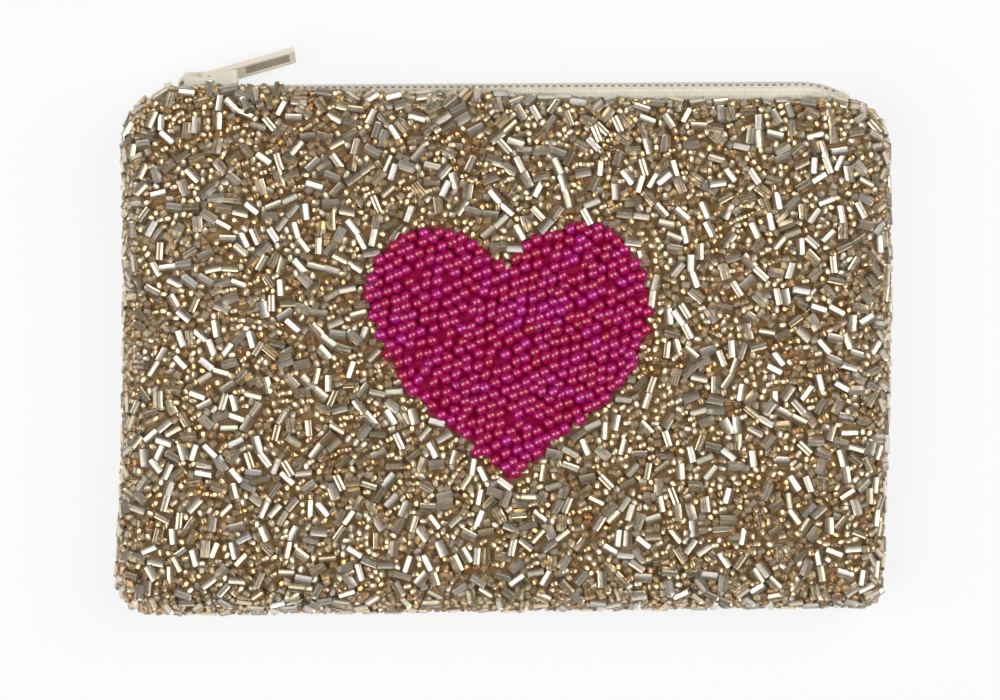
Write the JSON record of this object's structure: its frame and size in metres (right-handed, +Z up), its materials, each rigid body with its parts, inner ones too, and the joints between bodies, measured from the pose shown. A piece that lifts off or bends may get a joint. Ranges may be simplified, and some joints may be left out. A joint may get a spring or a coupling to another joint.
{
  "type": "beaded zip pouch",
  "caption": "Flat rectangular zip pouch, its front covered in gold glass beads round a heart of magenta beads, with a lined pocket, coil zip and pale metal slider with pull tab",
  "frame": {"origin": "middle of the flat back face that the pouch lies on", "axes": "+X along the zip from its closed end, +Y from the bottom seam to the zip, +Z up out of the beaded front"},
  "size_m": [0.1272, 0.0931, 0.0166],
  "materials": {
    "gold_glass_beads": "silver-lined champagne bugle beads and gold seed beads",
    "magenta_glass_beads": "glossy magenta seed beads",
    "bead_ground_cloth": "plain woven bead ground",
    "back_cloth": "plain woven",
    "lining_cloth": "smooth lining cloth",
    "zip_tape_cloth": "twill zip tape",
    "coil_nylon": "nylon coil",
    "coil_core_cord": "twisted cord",
    "zip_stop_metal": "pale gold plated crimps",
    "pale_gold_metal": "satin pale gold plating"
  },
  "bodies": {
    "pouch": {"back_panel": "back_cloth", "back_lining": "lining_cloth", "back_zip_tape": "zip_tape_cloth", "back_coil": "coil_nylon", "back_coil_cord": "coil_core_cord", "front_top_stop": "zip_stop_metal", "back_top_stop": "zip_stop_metal", "bottom_stop": "zip_stop_metal"},
    "front": {"front_panel": "bead_ground_cloth", "front_lining": "lining_cloth", "gold_bead_field": "gold_glass_beads", "heart_bead_field": "magenta_glass_beads", "front_zip_tape": "zip_tape_cloth", "front_coil": "coil_nylon", "front_coil_cord": "coil_core_cord"},
    "slider": {"slider_body": "pale_gold_metal", "slider_bail": "pale_gold_metal"},
    "pull": {"pull_tab": "pale_gold_metal"}
  },
  "joints": [
    {"name": "mouth_open", "type": "hinge", "parent": "pouch", "child": "front", "pos_m": [-0.0006, -0.04315, 0.00606], "axis": [0.9999, 0.0119, 0], "range_deg": [0, 15], "deforming": ["front_zip_tape", "front_coil", "front_coil_cord"]},
    {"name": "zip_slide", "type": "slide", "parent": "pouch", "child": "slider", "axis": [1, 0.0061, 0], "range_m": [0, 0.0924], "deforming": ["back_coil"]},
    {"name": "pull_swing", "type": "hinge", "parent": "slider", "child": "pull", "pos_m": [-0.04886, 0.04387, 0.00531], "axis": [-0.0019, 0.309, 0.9511], "range_deg": [0, 132]}
  ],
  "couplings": [
    {"joint": "zip_slide", "follows": "mouth_open", "m_per_rad": 0.35294}
  ]
}
